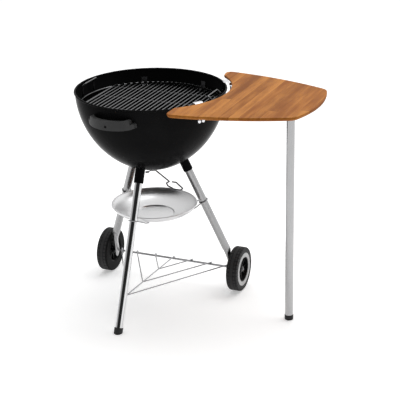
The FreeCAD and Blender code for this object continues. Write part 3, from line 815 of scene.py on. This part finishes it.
@dataclass
class BowlHandles:
    """The two moulded handles with their straps and screws."""

    grip: Finish = Moulded("grip_plastic", (0.034, 0.034, 0.0345), 0.5)
    strap: Finish = Metal("strap_steel", (0.2, 0.2, 0.205), 0.4, Axis.X)
    # Painted shade: the handle screws are tinted near black to stand for the shade in the screw holes.
    screw: Finish = Moulded("handle_screw_painted_shade", (0.004, 0.004, 0.0042), 0.7)

    def build(self) -> None:
        """Dress the handles."""
        for place in ("front", "rear"):
            dress(self.grip, place + "_handle")
            dress(self.strap, place + "_handle_strap")
            dress(self.screw, place + "_handle_screw")


@dataclass
class SideTable:
    """The wooden table with its leg, rim hooks and fixings."""

    wood: Finish = Butcher("oiled_staves", (0.4, 0.125, 0.02), 0.5)
    tube: Finish = Metal("table_leg_satin", (0.45, 0.45, 0.455), 0.24)
    chrome: Finish = Metal("hook_chrome", (0.82, 0.82, 0.84), 0.12, Axis.Y)
    plate: Finish = Enamel("plate_paint", (0.02, 0.02, 0.022), 0.45)
    foot: Finish = Moulded("table_foot_plastic", (0.018, 0.018, 0.019), 0.5)
    screw: Finish = Metal("table_screw_steel", (0.45, 0.45, 0.46), 0.3, Axis.X)

    def build(self) -> None:
        """Dress the table's nodes."""
        dress(self.wood, "table_board")
        dress(self.tube, "table_leg")
        dress(self.chrome, "front_bracket", "rear_bracket", "front_bracket_studs", "rear_bracket_studs")
        dress(self.plate, "table_leg_flange")
        dress(self.foot, "table_foot_cap")
        dress(self.screw, "table_screws")


@dataclass
class Studio:
    """Floor, sky, lamps and camera."""

    eye: Vector = field(default_factory=lambda: BOWL_AXIS + Vector((1.5779, -3.353, 1.7755)))
    heading: float = math.radians(22.693)
    pitch: float = math.radians(21.5)
    roll: float = math.radians(-0.984)
    lens: float = 112.79
    shift: tuple[float, float] = (-0.01385, 0.00798)
    floor_size: float = 60.0
    floor_tint: tuple[float, float, float] = (0.93, 0.93, 0.93)
    floor_roughness: float = 0.9
    lamp_place: Vector = field(default_factory=lambda: Vector((0.3, 0.6, 3.2)))
    lamp_aim: Vector = field(default_factory=lambda: Vector((0.0, 0.0, 0.4)))
    lamp_size: float = 2.4
    lamp_power: float = 45.0
    sky_strength: float = 1.14
    aim_height: float = 0.35
    gap_side: tuple[float, float] = (0.8, 0.92)
    gap_ahead: tuple[float, float] = (0.0, 0.2)
    gap_low: tuple[float, float] = (0.08, 0.16)
    gap_high: tuple[float, float] = (0.75, 0.92)
    wall_reach: tuple[float, float] = (-0.9, 0.5)
    white: tuple[float, float, float] = (1.0, 1.0, 1.0)
    gap_tint: tuple[float, float, float] = (0.02, 0.02, 0.02)
    shade_tint: tuple[float, float, float] = (0.5, 0.5, 0.5)

    def add_camera(self) -> None:
        """Place the camera."""
        data = bpy.data.cameras.new("camera")
        data.lens = self.lens
        data.shift_x, data.shift_y = self.shift
        camera = bpy.data.objects.new("camera", data)
        turn = Matrix.Rotation(self.heading, 4, "Z") @ Matrix.Rotation(math.pi / 2 - self.pitch, 4, "X")
        camera.matrix_world = Matrix.Translation(self.eye) @ turn @ Matrix.Rotation(self.roll, 4, "Z")
        bpy.context.scene.collection.objects.link(camera)
        bpy.context.scene.camera = camera

    def add_floor(self) -> None:
        """Lay the pale floor."""
        mesh = bpy.data.meshes.new("floor")
        half = self.floor_size / 2
        square = [(-half, -half, 0), (half, -half, 0), (half, half, 0), (-half, half, 0)]
        mesh.from_pydata(square, [], [tuple(range(len(square)))])
        floor = bpy.data.objects.new("floor", mesh)
        mesh.materials.append(Paper("floor_paper", self.floor_tint, self.floor_roughness).material())
        bpy.context.scene.collection.objects.link(floor)

    def add_sky(self) -> None:
        """Light the scene from all round, with a dark gap high up where the camera stands."""
        world = bpy.data.worlds.new("studio")
        world.use_nodes = True
        tree = Tree(world.node_tree)
        towards = self.eye - Vector((0.0, 0.0, self.aim_height))
        flat = Vector((towards.x, towards.y, 0.0)).normalized()
        way = tree.node("ShaderNodeTexCoord", {}, {}, "Generated")
        ahead = tree.node("ShaderNodeVectorMath", {"operation": "DOT_PRODUCT"}, {0: way, 1: flat}, 1)
        aside = tree.node("ShaderNodeVectorMath", {"operation": "DOT_PRODUCT"},
                          {0: way, 1: Vector((-flat.y, flat.x, 0.0))}, 1)
        _, _, up = tree.parts(way)
        narrow = 1.0 - aside.apply(Op.ABSOLUTE).ramp(*self.gap_side)
        level = up.ramp(*self.gap_low) * (1.0 - up.ramp(*self.gap_high))
        gap = narrow * ahead.ramp(*self.gap_ahead) * level
        wall = tree.blend(aside.ramp(*self.wall_reach), self.shade_tint, self.white)
        glow = tree.blend(gap, wall, self.gap_tint)
        light = tree.node("ShaderNodeBackground", {}, {"Color": glow, "Strength": self.sky_strength})
        tree.node("ShaderNodeOutputWorld", {}, {"Surface": light})
        bpy.context.scene.world = world

    def add_lamp(self, name: str, place: Vector, aim: Vector, size: float, power: float) -> None:
        """Hang a square soft lamp.

        Args:
            name: The lamp's name.
            place: Where it hangs.
            aim: What it points at.
            size: Length of its side.
            power: Its power in watts.
        """
        data = bpy.data.lights.new(name, "AREA")
        data.size = size
        data.energy = power
        lamp = bpy.data.objects.new(name, data)
        turn = (aim - place).to_track_quat("-Z", "Y").to_matrix().to_4x4()
        lamp.matrix_world = Matrix.Translation(place) @ turn
        bpy.context.scene.collection.objects.link(lamp)

    def build(self) -> None:
        """Set up the whole studio."""
        bpy.context.scene.view_settings.view_transform = "Standard"
        self.add_floor()
        self.add_sky()
        self.add_camera()
        self.add_lamp("overhead", self.lamp_place, self.lamp_aim, self.lamp_size, self.lamp_power)
        LOG.info("studio is set")


def main() -> None:
    """Build every part of the picture in order."""
    logging.basicConfig(level=logging.INFO)
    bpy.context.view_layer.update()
    for piece in (Bowl(), Tripod(), Wheel("left"), Wheel("right"), AshCatcher(), VentSweep(), Grates(),
                  BowlHandles(), SideTable(), Studio()):
        piece.build()
        LOG.info("built %s", type(piece).__name__)


if __name__ == "__main__":
    main()
